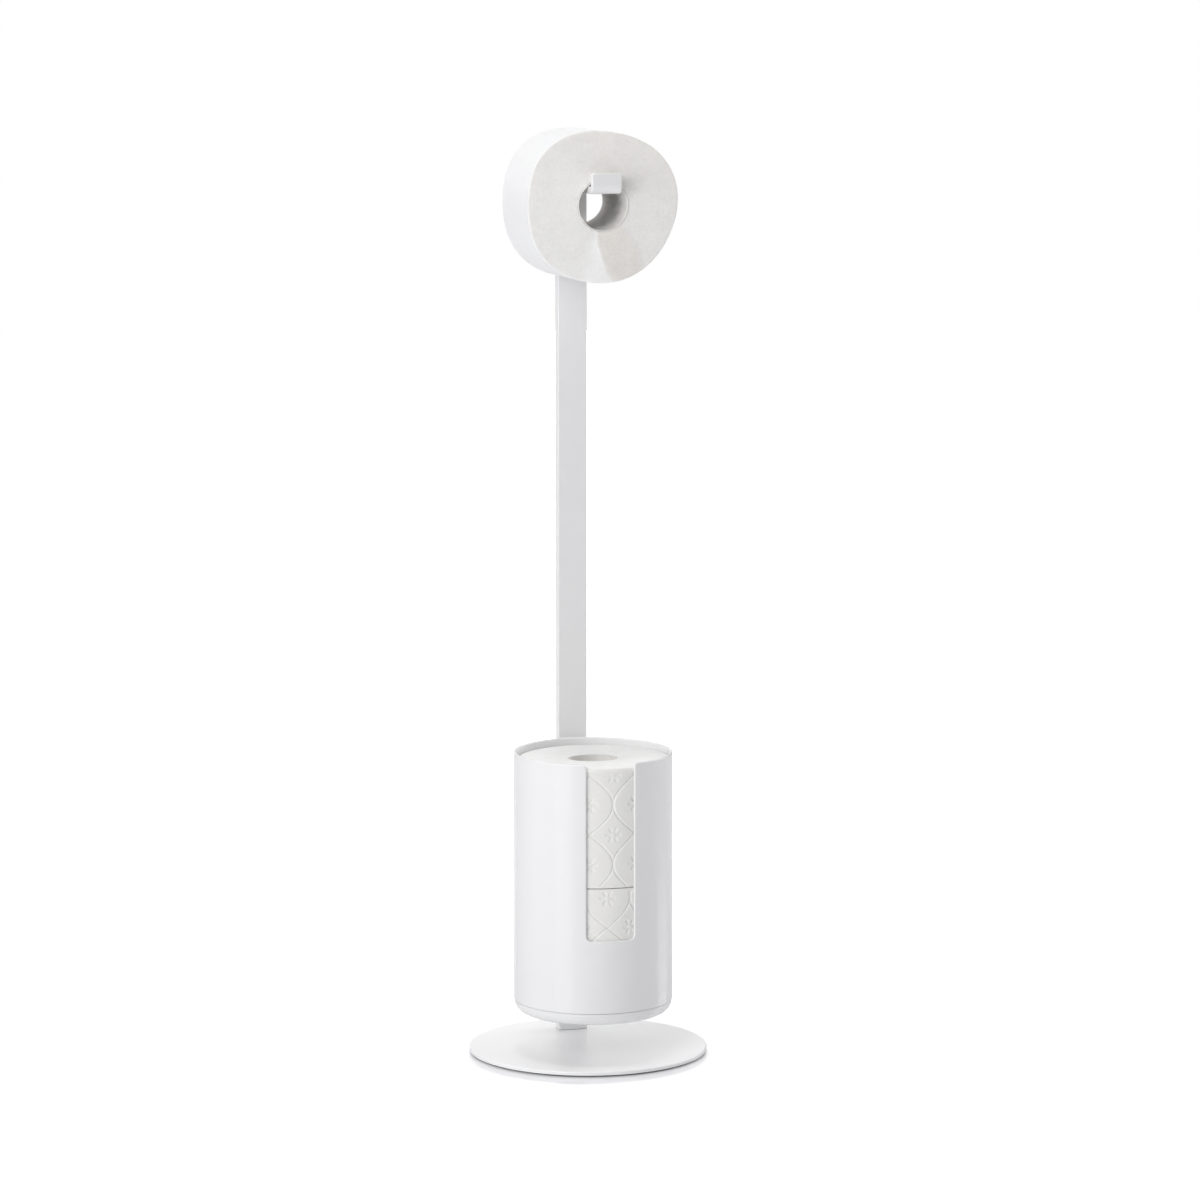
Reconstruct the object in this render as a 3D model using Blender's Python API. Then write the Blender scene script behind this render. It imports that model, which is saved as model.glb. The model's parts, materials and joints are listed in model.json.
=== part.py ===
"""Freestanding toilet paper holder with a canister for spare rolls.

Metres, +Z up, front towards -Y. The origin is on the floor under the middle of the base.
A round steel base carries a hollow rectangular post. A flat arm on top of the post runs forward
with a slight rise and ends in a short upturned lip, and one roll hangs on it by its core. A round
canister is screwed to the front of the post through two saddle spacers, and holds two spare rolls.
"""

import math

import bmesh
import bpy

# Gaps, overruns and the number of sides of round pieces
FIT = 0.0003
OVERRUN = 0.004
DISC_SIDES = 96
TUBE_SIDES = 96
ROLL_SIDES = 72
CORE_SIDES = 48
SCREW_SIDES = 20
HEX_SIDES = 6
ARC_STEPS = 4

# Base: a steel disc on a thin non-slip sheet
BASE_RADIUS = 0.100
BASE_THICK = 0.0030
BASE_TOP_ROUND = 0.0010
BASE_LOW_ROUND = 0.0004
SHEET_THICK = 0.0010
SHEET_INSET = 0.0030

# Post: a rectangular tube that stands on the base behind its middle
POST_WIDTH = 0.0246
POST_DEPTH = 0.0120
POST_WALL = 0.0015
POST_CORNER = 0.0006
POST_FRONT = 0.0555
PLUG_HEIGHT = 0.020

# Rolls of paper: each a cardboard core in a winding of tissue
ROLL_LENGTH = 0.100
CORE_BORE = 0.0203
CORE_WALL = 0.0008
PAPER_EDGE_ROUND = 0.0020
SPARE_RADIUS = 0.0612
HANGING_RADIUS = 0.0632
HANGING_OVAL_SHARE = 0.009
HANGING_SQUARE_SHARE = 0.018
HANGING_SAG_SHARE = 0.013

# Arm: a flat bar on top of the post, with a tenon that goes into the tube
ARM_THICK = 0.0060
ARM_UNDERSIDE = 0.7223
ARM_RISE_DEGREES = 2.0
ARM_EDGE_ROUND = 0.0004
BEND_INNER_RADIUS = 0.0015
ROLL_TO_POST = 0.0115
ROLL_TO_LIP = 0.0077
LIP_HEIGHT = 0.0170
LIP_CORNER = 0.0025
TENON_HEIGHT = 0.024

# Canister: a tube with a slot down its front, over a pan with a rounded edge
SPARE_CLEARANCE = 0.0035
CAN_WALL = 0.0018
CAN_TO_POST = 0.0079
CAN_RIM = 0.2593
CAN_SEAM = 0.0497
CAN_RIM_ROUND = 0.0006
CAN_SEAM_ROUND = 0.0004
SLOT_WIDTH = 0.0408
SLOT_BOTTOM = 0.1108
SLOT_LOW_CORNER = 0.0045
SLOT_TOP_CORNER = 0.0030
PAN_STEP = 0.0004
PAN_ROUND = 0.0106
PAN_WALL = 0.0015
SPIGOT_RISE = 0.0030
FLOOR_THICK = 0.0012

# Fixing of the canister: spacers with a saddle end, placed at these heights
FIXING_HEIGHTS = {"lower": 0.095, "upper": 0.215}
SPACER_RADIUS = 0.0070
NUT_THICK = 0.0040
NUT_ACROSS_CORNERS = 0.0092
SCREW_TIP = 0.0010

# Screws: shank and head radii, head heights, socket and end chamfer
BASE_SHANK = 0.0025
BASE_HEAD = 0.0045
BASE_HEAD_RIM = 0.0004
BASE_SCREW_LENGTH = 0.014
BASE_SCREW_SPACING = 0.011
BASE_HEAD_RECESS = 0.0002
ARM_SHANK = 0.0020
ARM_HEAD = 0.0038
ARM_HEAD_HEIGHT = 0.0020
ARM_SCREW_DEPTHS = {"upper": 0.007, "lower": 0.017}
CAN_SHANK = 0.0025
CAN_HEAD = 0.0046
CAN_HEAD_HEIGHT = 0.0020
HEAD_ROUND = 0.0005
SCREW_CHAMFER = 0.0005
SOCKET_SHARE = 0.42
SOCKET_DEPTH_SHARE = 0.6

# Finishes: colour, roughness and metallic value
WHITE_COAT = ((0.86, 0.86, 0.87), 0.38, 0.0)
SOFT_FOAM = ((0.10, 0.10, 0.11), 0.9, 0.0)
ZINC = ((0.62, 0.63, 0.65), 0.35, 1.0)
WHITE_PLASTIC = ((0.80, 0.80, 0.81), 0.5, 0.0)
TISSUE = ((0.90, 0.89, 0.87), 0.95, 0.0)
CARD = ((0.72, 0.68, 0.62), 0.9, 0.0)

# Heights and depths that follow from the sizes above
BASE_LOW = SHEET_THICK + FIT
BASE_TOP = BASE_LOW + BASE_THICK
POST_LOW = BASE_TOP + FIT
POST_TOP = ARM_UNDERSIDE - FIT
POST_BACK = POST_FRONT + POST_DEPTH
POST_MIDDLE = POST_FRONT + POST_DEPTH / 2
ARM_TOP = ARM_UNDERSIDE + ARM_THICK
ARM_SLOPE = math.radians(ARM_RISE_DEGREES)
ARM_MITRE = POST_FRONT - ARM_THICK * math.tan(ARM_SLOPE / 2)
ROLL_REACH = ROLL_LENGTH * math.cos(ARM_SLOPE)
ROLL_FRONT = ROLL_TO_POST + ROLL_REACH - POST_FRONT
LIP_FRONT = ROLL_FRONT + ROLL_TO_LIP + ARM_THICK
CAN_INNER = SPARE_RADIUS + SPARE_CLEARANCE
CAN_RADIUS = CAN_INNER + CAN_WALL
CAN_FORWARD = CAN_RADIUS + CAN_TO_POST - POST_FRONT
CAN_INNER_BACK = CAN_INNER - CAN_FORWARD
PAN_RADIUS = CAN_RADIUS - PAN_STEP
PAN_TOP = CAN_SEAM - FIT
PAN_EDGE = PAN_TOP - CAN_SEAM_ROUND
PAN_LOW = PAN_EDGE - PAN_ROUND
FLOOR_LOW = CAN_SEAM + SPIGOT_RISE + FIT
FLOOR_TOP = FLOOR_LOW + FLOOR_THICK


def arc(centre, radius, start, end, steps=ARC_STEPS):
    """Points on an arc from one angle to the other, in degrees, both ends included."""
    turns = [math.radians(start + (end - start) * i / steps) for i in range(steps + 1)]
    return [(centre[0] + radius * math.cos(t), centre[1] + radius * math.sin(t)) for t in turns]


def rounded_rectangle(width, height, radius):
    """Outline of a rectangle about the origin with round corners."""
    x, y = width / 2 - radius, height / 2 - radius
    corners = [((x, -y), -90), ((x, y), 0), ((-x, y), 90), ((-x, -y), 180)]
    return [p for centre, start in corners for p in arc(centre, radius, start, start + 90)]


def polygon(radius, sides):
    """A regular outline, such as a hexagon."""
    turns = [2 * math.pi * i / sides for i in range(sides)]
    return [(radius * math.cos(t), radius * math.sin(t)) for t in turns]


def add_object(name, mesh_data, finish):
    """Makes the object for a finished mesh, with a material of its own."""
    mesh = bpy.data.meshes.new(name)
    bmesh.ops.recalc_face_normals(mesh_data, faces=mesh_data.faces)
    mesh_data.to_mesh(mesh)
    mesh_data.free()
    mesh.shade_smooth()
    mesh.set_sharp_from_angle(angle=math.radians(30))
    piece = bpy.data.objects.new(name, mesh)
    bpy.context.scene.collection.objects.link(piece)
    if finish:
        colour, roughness, metallic = finish
        material = bpy.data.materials.new(name)
        material.use_nodes = True
        shader = material.node_tree.nodes["Principled BSDF"]
        shader.inputs["Base Color"].default_value = (*colour, 1.0)
        shader.inputs["Roughness"].default_value = roughness
        shader.inputs["Metallic"].default_value = metallic
        mesh.materials.append(material)
    else:
        piece.hide_render = True
        piece.display_type = "WIRE"
    return piece


def turned(name, profile, sides, finish=None):
    """A solid turned about Z. The profile is a closed outline of (radius, height) points,
    or one that starts and ends on the axis."""
    data = bmesh.new()
    points = [data.verts.new((radius, 0, height)) for radius, height in profile]
    edges = [data.edges.new(pair) for pair in zip(points, points[1:])]
    if profile[0][0] > 0:
        edges.append(data.edges.new((points[-1], points[0])))
    bmesh.ops.spin(data, geom=points + edges, cent=(0, 0, 0), axis=(0, 0, 1),
                   angle=2 * math.pi, steps=sides, use_merge=True)
    bmesh.ops.remove_doubles(data, verts=data.verts, dist=FIT / 100)
    return add_object(name, data, finish)


def prism(name, outline, low, high, finish=None):
    """A solid drawn up from an outline in the XY plane, between two heights."""
    data = bmesh.new()
    face = data.faces.new([data.verts.new((x, y, low)) for x, y in outline])
    drawn = bmesh.ops.extrude_face_region(data, geom=[face])
    raised = [item for item in drawn["geom"] if isinstance(item, bmesh.types.BMVert)]
    bmesh.ops.translate(data, verts=raised, vec=(0, 0, high - low))
    return add_object(name, data, finish)


def tube_prism(name, outer, inner, low, high, finish):
    """A tube drawn up between two heights, from two outlines with as many points."""
    data = bmesh.new()
    loops = [(outer, low), (outer, high), (inner, high), (inner, low)]
    rings = [[data.verts.new((x, y, z)) for x, y in outline] for outline, z in loops]
    for ring, following in zip(rings, rings[1:] + rings[:1]):
        for i in range(len(ring)):
            j = (i + 1) % len(ring)
            data.faces.new((ring[i], ring[j], following[j], following[i]))
    return add_object(name, data, finish)


def change(piece, cutter, operation="DIFFERENCE"):
    """Cuts a piece with another shape, or joins the two."""
    modifier = piece.modifiers.new(cutter.name, "BOOLEAN")
    modifier.object = cutter
    modifier.operation = operation


def bore(piece, radius, low, high, place=(0, 0, 0), tilt=0, sides=SCREW_SIDES):
    """Cuts a round hole along Z, between two heights, tilted about X in degrees."""
    name = f"{piece.name}_bore_{len(piece.modifiers)}"
    cutter = prism(name, polygon(radius, sides), low, high)
    cutter.location = place
    cutter.rotation_euler.x = math.radians(tilt)
    change(piece, cutter)


def round_edges(piece, width):
    """Rounds the sharp edges of a flat-sided piece a little."""
    modifier = piece.modifiers.new("edges", "BEVEL")
    modifier.width = width
    modifier.segments = 2
    modifier.limit_method = "ANGLE"
    modifier.angle_limit = math.radians(50)


def socket(piece, head_radius, head_height):
    """Cuts the hexagon socket in the face of a screw's head, which lies at height 0."""
    outline = polygon(head_radius * SOCKET_SHARE, HEX_SIDES)
    change(piece, prism(piece.name + "_socket", outline, -OVERRUN, head_height * SOCKET_DEPTH_SHARE))


def low_head_screw(name, shank, head, head_height, length):
    """A screw along +Z with its head's face at height 0. The length is from under the head."""
    end = head_height + length
    profile = [(0, 0), *arc((head - HEAD_ROUND, HEAD_ROUND), HEAD_ROUND, -90, 0, 2),
               (head, head_height), (shank, head_height), (shank, end - SCREW_CHAMFER),
               (shank - SCREW_CHAMFER, end), (0, end)]
    piece = turned(name, profile, SCREW_SIDES, ZINC)
    socket(piece, head, head_height)
    return piece


def base_head_depth():
    """Depth of a countersunk head: its rim and its 90 degree cone."""
    return BASE_HEAD_RIM + BASE_HEAD - BASE_SHANK


def build_base():
    """The disc, the sheet under it, and the two screws that go up into the post's foot."""
    low_round = arc((BASE_RADIUS - BASE_LOW_ROUND, BASE_LOW + BASE_LOW_ROUND), BASE_LOW_ROUND, -90, 0, 1)
    top_round = arc((BASE_RADIUS - BASE_TOP_ROUND, BASE_TOP - BASE_TOP_ROUND), BASE_TOP_ROUND, 0, 90, 3)
    profile = [(0, BASE_LOW), *low_round, *top_round, (0, BASE_TOP)]
    plate = turned("base_plate", profile, DISC_SIDES, WHITE_COAT)
    sheet_radius = BASE_RADIUS - SHEET_INSET
    sheet_profile = [(0, 0), (sheet_radius, 0), (sheet_radius, SHEET_THICK), (0, SHEET_THICK)]
    sheet = turned("nonslip_sheet", sheet_profile, DISC_SIDES, SOFT_FOAM)
    for side, sign in (("left", -1), ("right", 1)):
        place = (sign * BASE_SCREW_SPACING / 2, POST_MIDDLE, 0)
        head_low = BASE_LOW + BASE_HEAD_RECESS
        end = head_low + BASE_SCREW_LENGTH
        cone_end = head_low + base_head_depth()
        profile = [(0, head_low), (BASE_HEAD, head_low), (BASE_HEAD, head_low + BASE_HEAD_RIM),
                   (BASE_SHANK, cone_end), (BASE_SHANK, end - SCREW_CHAMFER),
                   (BASE_SHANK - SCREW_CHAMFER, end), (0, end)]
        screw = turned(f"base_screw_{side}", profile, SCREW_SIDES, ZINC)
        screw.location = place
        hexagon = polygon(BASE_HEAD * SOCKET_SHARE, HEX_SIDES)
        depth = head_low + base_head_depth() * SOCKET_DEPTH_SHARE
        cutter = prism(screw.name + "_socket", hexagon, BASE_LOW - OVERRUN, depth)
        cutter.location = place
        change(screw, cutter)
        rim_end = head_low + BASE_HEAD_RIM
        hole = [(0, BASE_LOW - OVERRUN), (BASE_HEAD + FIT, BASE_LOW - OVERRUN), (BASE_HEAD + FIT, rim_end),
                (BASE_SHANK + FIT, cone_end), (BASE_SHANK + FIT, BASE_TOP + OVERRUN),
                (0, BASE_TOP + OVERRUN)]
        seat = turned(f"base_plate_seat_{side}", hole, SCREW_SIDES)
        seat.location = place
        change(plate, seat)
        bore(sheet, BASE_HEAD + 2 * FIT, -OVERRUN, SHEET_THICK + OVERRUN, place)


def build_post():
    """The tube, and the threaded plug in its foot."""
    outer = rounded_rectangle(POST_WIDTH, POST_DEPTH, POST_CORNER)
    inner_width, inner_depth = POST_WIDTH - 2 * POST_WALL, POST_DEPTH - 2 * POST_WALL
    inner = rounded_rectangle(inner_width, inner_depth, POST_CORNER)
    post = tube_prism("post", outer, inner, POST_LOW, POST_TOP, WHITE_COAT)
    post.location.y = POST_MIDDLE
    wall_low, wall_high = -POST_WALL - OVERRUN, OVERRUN
    for height in FIXING_HEIGHTS.values():
        bore(post, CAN_SHANK + FIT, wall_low, wall_high, (0, POST_FRONT, height), tilt=90)
    for depth in ARM_SCREW_DEPTHS.values():
        bore(post, ARM_SHANK + FIT, wall_low, wall_high, (0, POST_BACK, ARM_UNDERSIDE - depth), tilt=-90)
    outline = rounded_rectangle(inner_width - 2 * FIT, inner_depth - 2 * FIT, POST_CORNER)
    plug = prism("foot_plug", outline, POST_LOW, POST_LOW + PLUG_HEIGHT, ZINC)
    plug.location.y = POST_MIDDLE
    for sign in (-1, 1):
        place = (sign * BASE_SCREW_SPACING / 2, POST_MIDDLE, 0)
        bore(plug, BASE_SHANK + FIT, BASE_TOP - OVERRUN, POST_LOW + PLUG_HEIGHT + OVERRUN, place)


def arm_top_at(y):
    """Height of the arm's top face at a depth in front of the post. The arm is level over the
    post, and rises from the mitre line at the post's front."""
    return ARM_TOP + (ARM_MITRE - y) * math.tan(ARM_SLOPE)


def build_arm():
    """The bar with its bent lip and its tenon, and the two screws that hold the tenon."""
    outer_radius = BEND_INNER_RADIUS + ARM_THICK
    bend_y = -LIP_FRONT + outer_radius
    bend_z = arm_top_at(bend_y) + BEND_INNER_RADIUS / math.cos(ARM_SLOPE)
    lip_top = bend_z - outer_radius + LIP_HEIGHT
    outside = arc((bend_y, bend_z), outer_radius, 270 - ARM_RISE_DEGREES, 180, 6)
    inside = arc((bend_y, bend_z), BEND_INNER_RADIUS, 180, 270 - ARM_RISE_DEGREES, 3)
    side_view = [(POST_BACK, ARM_UNDERSIDE), (POST_FRONT, ARM_UNDERSIDE), *outside,
                 (-LIP_FRONT, lip_top), (-LIP_FRONT + ARM_THICK, lip_top), *inside,
                 (ARM_MITRE, ARM_TOP), (POST_BACK, ARM_TOP)]
    data = bmesh.new()
    face = data.faces.new([data.verts.new((-POST_WIDTH / 2, y, z)) for y, z in side_view])
    drawn = bmesh.ops.extrude_face_region(data, geom=[face])
    moved = [item for item in drawn["geom"] if isinstance(item, bmesh.types.BMVert)]
    bmesh.ops.translate(data, verts=moved, vec=(POST_WIDTH, 0, 0))
    corners = [edge for edge in data.edges
               if all(abs(v.co.z - lip_top) < FIT for v in edge.verts)
               and edge.verts[0].co.x * edge.verts[1].co.x > 0]
    bmesh.ops.bevel(data, geom=corners, offset=LIP_CORNER, segments=ARC_STEPS, profile=0.5, affect="EDGES")
    arm = add_object("arm", data, WHITE_COAT)
    round_edges(arm, ARM_EDGE_ROUND)
    tenon_width = POST_WIDTH - 2 * POST_WALL - 2 * FIT
    tenon_depth = POST_DEPTH - 2 * POST_WALL - 2 * FIT
    outline = rounded_rectangle(tenon_width, tenon_depth, POST_CORNER)
    tenon = prism("arm_tenon", outline, ARM_UNDERSIDE - TENON_HEIGHT, ARM_UNDERSIDE + ARM_THICK / 2)
    tenon.location.y = POST_MIDDLE
    change(arm, tenon, "UNION")
    for step, depth in ARM_SCREW_DEPTHS.items():
        height = ARM_UNDERSIDE - depth
        length = POST_WALL + tenon_depth
        bore(arm, ARM_SHANK + FIT, -OVERRUN, POST_DEPTH + OVERRUN, (0, POST_BACK, height), tilt=90)
        screw = low_head_screw(f"arm_screw_{step}", ARM_SHANK, ARM_HEAD, ARM_HEAD_HEIGHT, length)
        screw.location = (0, POST_BACK + FIT + ARM_HEAD_HEIGHT, height)
        screw.rotation_euler.x = math.radians(90)


def slot_cutter():
    """Cuts the front slot square to the wall all along its edge: its outline is wrapped round
    the tube, and drawn out along the radius."""
    half = SLOT_WIDTH / 2
    low, top = SLOT_BOTTOM, CAN_RIM
    r, t = SLOT_LOW_CORNER, SLOT_TOP_CORNER
    right = [*arc((half - r, low + r), r, -90, 0), *arc((half + t, top - t), t, 180, 90),
             (half + t, top + OVERRUN)]
    outline = right + [(-x, z) for x, z in reversed(right)]
    full_angle = 2 * math.asin(half / CAN_RADIUS) / SLOT_WIDTH
    rings = []
    data = bmesh.new()
    for radius in (CAN_INNER - 2 * OVERRUN, CAN_RADIUS + 2 * OVERRUN):
        ring = []
        for x, z in outline:
            turn = x * full_angle
            ring.append(data.verts.new((radius * math.sin(turn), -radius * math.cos(turn), z)))
        rings.append(ring)
    count = len(outline)
    for i in range(count):
        j = (i + 1) % count
        data.faces.new((rings[0][i], rings[0][j], rings[1][j], rings[1][i]))
    for ring in rings:
        for i in range(count // 2 - 1):
            data.faces.new((ring[i], ring[i + 1], ring[count - 2 - i], ring[count - 1 - i]))
    cutter = add_object("canister_slot", data, None)
    cutter.location.y = -CAN_FORWARD
    return cutter


def build_canister():
    """The slotted tube, the pan under it, and the floor inside that the spare rolls stand on."""
    rim, seam = CAN_RIM_ROUND, CAN_SEAM_ROUND
    profile = [(CAN_INNER, CAN_SEAM), (CAN_RADIUS - seam, CAN_SEAM), (CAN_RADIUS, CAN_SEAM + seam),
               *arc((CAN_RADIUS - rim, CAN_RIM - rim), rim, 0, 90, 2),
               *arc((CAN_INNER + rim, CAN_RIM - rim), rim, 90, 180, 2)]
    shell = turned("canister_shell", profile, TUBE_SIDES, WHITE_COAT)
    shell.location.y = -CAN_FORWARD
    change(shell, slot_cutter())
    spigot = CAN_INNER - FIT
    inner_round = PAN_ROUND - PAN_WALL
    wall_inner = spigot - PAN_WALL
    outside = arc((PAN_RADIUS - PAN_ROUND, PAN_EDGE), PAN_ROUND, -90, 0, 6)
    inside = arc((wall_inner - inner_round, PAN_EDGE), inner_round, 0, -90, 5)
    pan_profile = [(0, PAN_LOW), *outside, (PAN_RADIUS - seam, PAN_TOP), (spigot, PAN_TOP),
                   (spigot, CAN_SEAM + SPIGOT_RISE), (wall_inner, CAN_SEAM + SPIGOT_RISE),
                   *inside, (0, PAN_LOW + PAN_WALL)]
    pan = turned("canister_pan", pan_profile, TUBE_SIDES, WHITE_COAT)
    pan.location.y = -CAN_FORWARD
    floor_profile = [(0, FLOOR_LOW), (spigot, FLOOR_LOW), (spigot, FLOOR_TOP), (0, FLOOR_TOP)]
    floor = turned("canister_floor", floor_profile, TUBE_SIDES, WHITE_COAT)
    floor.location.y = -CAN_FORWARD
    for step, height in FIXING_HEIGHTS.items():
        bore(shell, CAN_SHANK + FIT, -OVERRUN, CAN_WALL + OVERRUN, (0, CAN_INNER_BACK, height), tilt=-90)
        build_fixing(step, height)


def build_fixing(step, height):
    """One spacer between the canister and the post, with its screw and the nut inside the post."""
    spacer = prism(f"spacer_{step}", polygon(SPACER_RADIUS, 2 * SCREW_SIDES), CAN_INNER_BACK,
                   POST_FRONT - FIT, WHITE_PLASTIC)
    spacer.location.z = height
    spacer.rotation_euler.x = math.radians(-90)
    saddle = prism(f"spacer_{step}_saddle", polygon(CAN_RADIUS + FIT, 2 * TUBE_SIDES),
                   height - 2 * SPACER_RADIUS, height + 2 * SPACER_RADIUS)
    saddle.location.y = -CAN_FORWARD
    change(spacer, saddle)
    bore(spacer, CAN_SHANK + FIT, CAN_INNER_BACK - OVERRUN, POST_FRONT + OVERRUN, (0, 0, height), tilt=-90)
    nut_front = POST_FRONT + POST_WALL + FIT
    nut_back = nut_front + NUT_THICK
    nut = prism(f"canister_nut_{step}", polygon(NUT_ACROSS_CORNERS / 2, HEX_SIDES), nut_front, nut_back, ZINC)
    nut.location.z = height
    nut.rotation_euler.x = math.radians(-90)
    bore(nut, CAN_SHANK + FIT, nut_front - OVERRUN, nut_back + OVERRUN, (0, 0, height), tilt=-90)
    sagitta = CAN_INNER - math.sqrt(CAN_INNER ** 2 - CAN_HEAD ** 2)
    under_head = CAN_INNER_BACK - sagitta - FIT
    length = nut_back + SCREW_TIP - under_head
    screw = low_head_screw(f"canister_screw_{step}", CAN_SHANK, CAN_HEAD, CAN_HEAD_HEIGHT, length)
    screw.location = (0, under_head - CAN_HEAD_HEIGHT, height)
    screw.rotation_euler.x = math.radians(-90)


def winding(name, outer_radius, oval_share=0.0, square_share=0.0, sag_share=0.0):
    """A roll's tissue, about Z from height 0: a round bore, and an outside that may be
    pressed a little out of round and hang a little to -Y."""
    bore_radius = CORE_BORE + CORE_WALL + FIT
    edge = PAPER_EDGE_ROUND
    rounded = arc((-edge, edge), edge, -90, 0, 2) + arc((-edge, ROLL_LENGTH - edge), edge, 0, 90, 2)
    data = bmesh.new()
    rings = []
    for i in range(ROLL_SIDES):
        turn = 2 * math.pi * i / ROLL_SIDES
        radius = outer_radius * (1 + oval_share * math.cos(2 * turn) - square_share * math.cos(4 * turn)
                                 - sag_share * math.sin(turn))
        profile = [(bore_radius, 0), *((radius + r, z) for r, z in rounded), (bore_radius, ROLL_LENGTH)]
        rings.append([data.verts.new((r * math.cos(turn), r * math.sin(turn), z)) for r, z in profile])
    for i, ring in enumerate(rings):
        after = rings[(i + 1) % ROLL_SIDES]
        for j in range(len(ring)):
            k = (j + 1) % len(ring)
            data.faces.new((ring[j], after[j], after[k], ring[k]))
    return add_object(name, data, TISSUE)


def roll(name, outer_radius, place, tilt=0, **out_of_round):
    """A whole roll on an empty at the low end of its axis."""
    anchor = bpy.data.objects.new(name + "_axis", None)
    bpy.context.scene.collection.objects.link(anchor)
    anchor.location = place
    anchor.rotation_euler.x = math.radians(tilt)
    outer = CORE_BORE + CORE_WALL
    tube = [(CORE_BORE, 0), (outer, 0), (outer, ROLL_LENGTH), (CORE_BORE, ROLL_LENGTH)]
    core = turned(name + "_core", tube, CORE_SIDES, CARD)
    paper = winding(name + "_paper", outer_radius, **out_of_round)
    for piece in (core, paper):
        piece.parent = anchor


def build_rolls():
    """Two spare rolls stacked in the canister, and one that hangs by its core on the arm."""
    lower = FLOOR_TOP + FIT
    upper = lower + ROLL_LENGTH + FIT
    roll("lower_roll", SPARE_RADIUS, (0, -CAN_FORWARD, lower))
    roll("upper_roll", SPARE_RADIUS, (0, -CAN_FORWARD, upper))
    drop = math.sqrt((CORE_BORE - FIT) ** 2 - (POST_WIDTH / 2) ** 2)
    back = ROLL_REACH - ROLL_FRONT
    place = (0, back, arm_top_at(back) - drop / math.cos(ARM_SLOPE))
    roll("hanging_roll", HANGING_RADIUS, place, 90 - ARM_RISE_DEGREES, oval_share=HANGING_OVAL_SHARE,
         square_share=HANGING_SQUARE_SHARE, sag_share=HANGING_SAG_SHARE)


for old in list(bpy.data.objects):
    bpy.data.objects.remove(old)
build_base()
build_post()
build_arm()
build_canister()
build_rolls()
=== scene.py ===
import json
import math

import bmesh
import bpy
import numpy as np
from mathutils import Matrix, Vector


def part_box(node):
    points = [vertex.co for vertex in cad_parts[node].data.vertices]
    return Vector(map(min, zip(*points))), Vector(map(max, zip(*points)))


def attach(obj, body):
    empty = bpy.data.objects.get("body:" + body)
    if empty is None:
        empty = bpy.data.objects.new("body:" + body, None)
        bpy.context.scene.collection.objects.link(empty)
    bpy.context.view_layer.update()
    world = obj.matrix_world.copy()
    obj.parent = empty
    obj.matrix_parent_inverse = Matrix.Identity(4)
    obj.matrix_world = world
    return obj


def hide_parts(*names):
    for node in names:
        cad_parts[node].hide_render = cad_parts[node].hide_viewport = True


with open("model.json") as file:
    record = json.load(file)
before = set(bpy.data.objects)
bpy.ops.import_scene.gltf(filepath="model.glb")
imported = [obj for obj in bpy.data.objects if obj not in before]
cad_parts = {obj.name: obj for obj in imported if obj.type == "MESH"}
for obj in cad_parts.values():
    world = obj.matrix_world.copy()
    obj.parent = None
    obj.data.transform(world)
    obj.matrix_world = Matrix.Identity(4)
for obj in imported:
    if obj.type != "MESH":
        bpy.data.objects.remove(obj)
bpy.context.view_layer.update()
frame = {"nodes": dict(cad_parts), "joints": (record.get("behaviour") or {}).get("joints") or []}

# Lengths are in metres. Azimuths run in degrees from straight ahead of the object, to the right.

# Camera: it looks down a little from the front left, with a long lens
CAMERA_TARGET = Vector((0, 0, 0.380))
CAMERA_DISTANCE = 4.482
CAMERA_AZIMUTH = -13.19
CAMERA_ELEVATION = 8.72
# How far it aims to the right of its target and above it
AIM_RIGHT = 0.0102
AIM_UP = 0.0034
FOCAL_PIXELS = 5378
FRAME_PIXELS = 1200
SENSOR_WIDTH = 36.0

# Lamps: azimuth, elevation, distance, side, and share of the level at which a white card facing the
# lamp renders white
LAMPS = {"key": (-56, 9, 4.0, 1.85, 0.228), "front": (-36, 26, 4.0, 1.85, 0.29),
         "top": (-45, 86, 2.6, 0.40, 0.18), "right_back": (106, 14, 2.6, 1.2, 0.33)}
# The surroundings light the object too, most of all from behind it
SKY_SHARE = 0.67
SKY_AZIMUTH = 180
SKY_LEAN = 0.95
# Dark cards out of the picture, behind the object on both sides and in front of it on the right,
# keep its outline off the white and its right side darker
FLAG_AZIMUTHS = {"left": -138, "right": 130, "front": 34}
FLAG_DISTANCE = 4.0
FLAG_WIDTH = 4.0
FLAG_HEIGHT = 2.6
FLAG_GREY = (0.05, 0.05, 0.05)
FLOOR_RADIUS = 6.0
FLOOR_SIDES = 64
FLOOR_DROP = 0.0001
# Light that the floor adds to the camera's view: under the object, past the band that mirrors the
# base, and the share of it that glossy pieces mirror
FLOOR_GLOW = 0.03
FLOOR_GLOW_PAST_BAND = 0.24
FLOOR_GLOW_MIRRORED = 0.2
# The band is a circle shifted towards the camera, with a soft edge between two radii
BAND_REACH = 0.022
BAND_EDGE = (0.0960, 0.1050)
# Between these distances from the object the floor's light rises to full white
FLOOR_FADE = (0.15, 0.9)

# Fineness of the meshes
ROUND_SIDES = 240
ARC_STEPS = 5
SUPPORT_SHARE = 0.35
SHARP_ANGLE = 50
CUTTER_SIDES = 40
RIM_POINTS = 110
SLOT_SIDE_POINTS = 24
SLOT_LOW_POINTS = 10
SLOT_CORNER_STEPS = 8
SHELL_ROW_SHARES = (0, 0.004, *np.linspace(0.03, 0.97, 22), 0.99, 1)
ARM_ROWS = 24
SPARE_FINE_ANGLE = math.radians(27)
SPARE_FINE_SIDES = 130
SPARE_COARSE_SIDES = 220
HANGING_SIDES = 360
CARD_SIDES = 120
END_ROWS = 36
SIDE_ROWS = 190
LAYER_SIDES = 72
DOUBLES = 1e-7

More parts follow.
